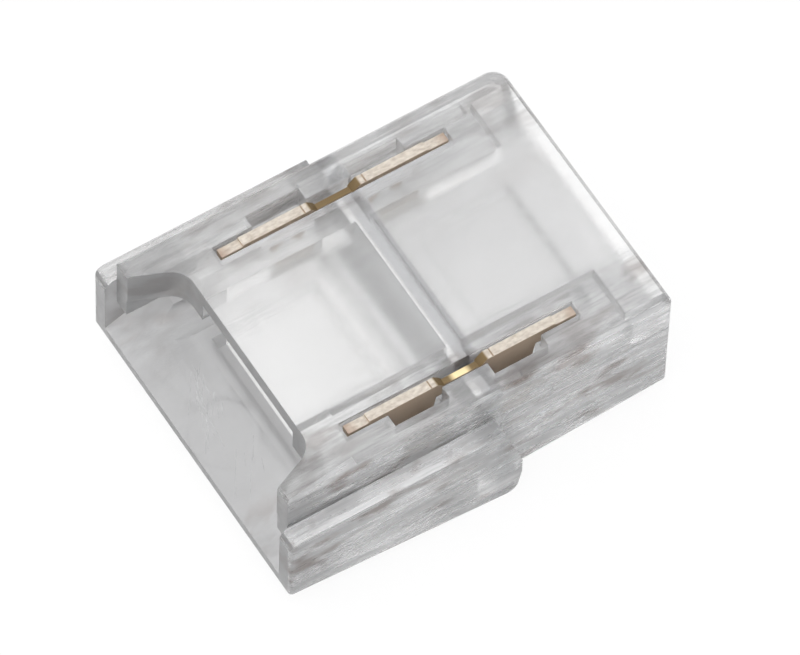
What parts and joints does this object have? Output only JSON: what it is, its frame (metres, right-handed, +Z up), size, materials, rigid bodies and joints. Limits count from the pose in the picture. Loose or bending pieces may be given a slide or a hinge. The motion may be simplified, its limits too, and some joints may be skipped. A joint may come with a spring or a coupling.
{
  "type": "led strip connector",
  "caption": "Clear snap connector that joins a flat LED strip to a pair of wires, with piercing contacts on edge in its top and a hinged press cover at each end.",
  "frame": {"origin": "middle of the base: centre of the bounding box in plan, lowest point of the wire cover's toe", "axes": "+X from the wire end to the strip end, +Y across the connector to its far contact, +Z up through the flat top face"},
  "size_m": [0.0162, 0.0132, 0.0056],
  "materials": {
    "clear_plastic": "clear moulded polycarbonate, slightly hazy",
    "plated_contact": "stamped bronze with matt tin plating on the arms and a gold-coloured neck"
  },
  "bodies": {
    "housing": {"housing": "clear_plastic", "contact_near": "plated_contact", "contact_far": "plated_contact"},
    "wire_cover": {"wire_cover": "clear_plastic"},
    "strip_cover": {"strip_cover": "clear_plastic"}
  },
  "joints": [
    {"name": "wire_cover_hinge", "type": "hinge", "parent": "housing", "child": "wire_cover", "pos_m": [0.00075, 0, 0.00145], "axis": [0, -1, 0], "range_deg": [0, 25]},
    {"name": "strip_cover_hinge", "type": "hinge", "parent": "housing", "child": "strip_cover", "pos_m": [0.00075, 0, 0.00145], "axis": [0, 1, 0], "range_deg": [0, 25]}
  ]
}
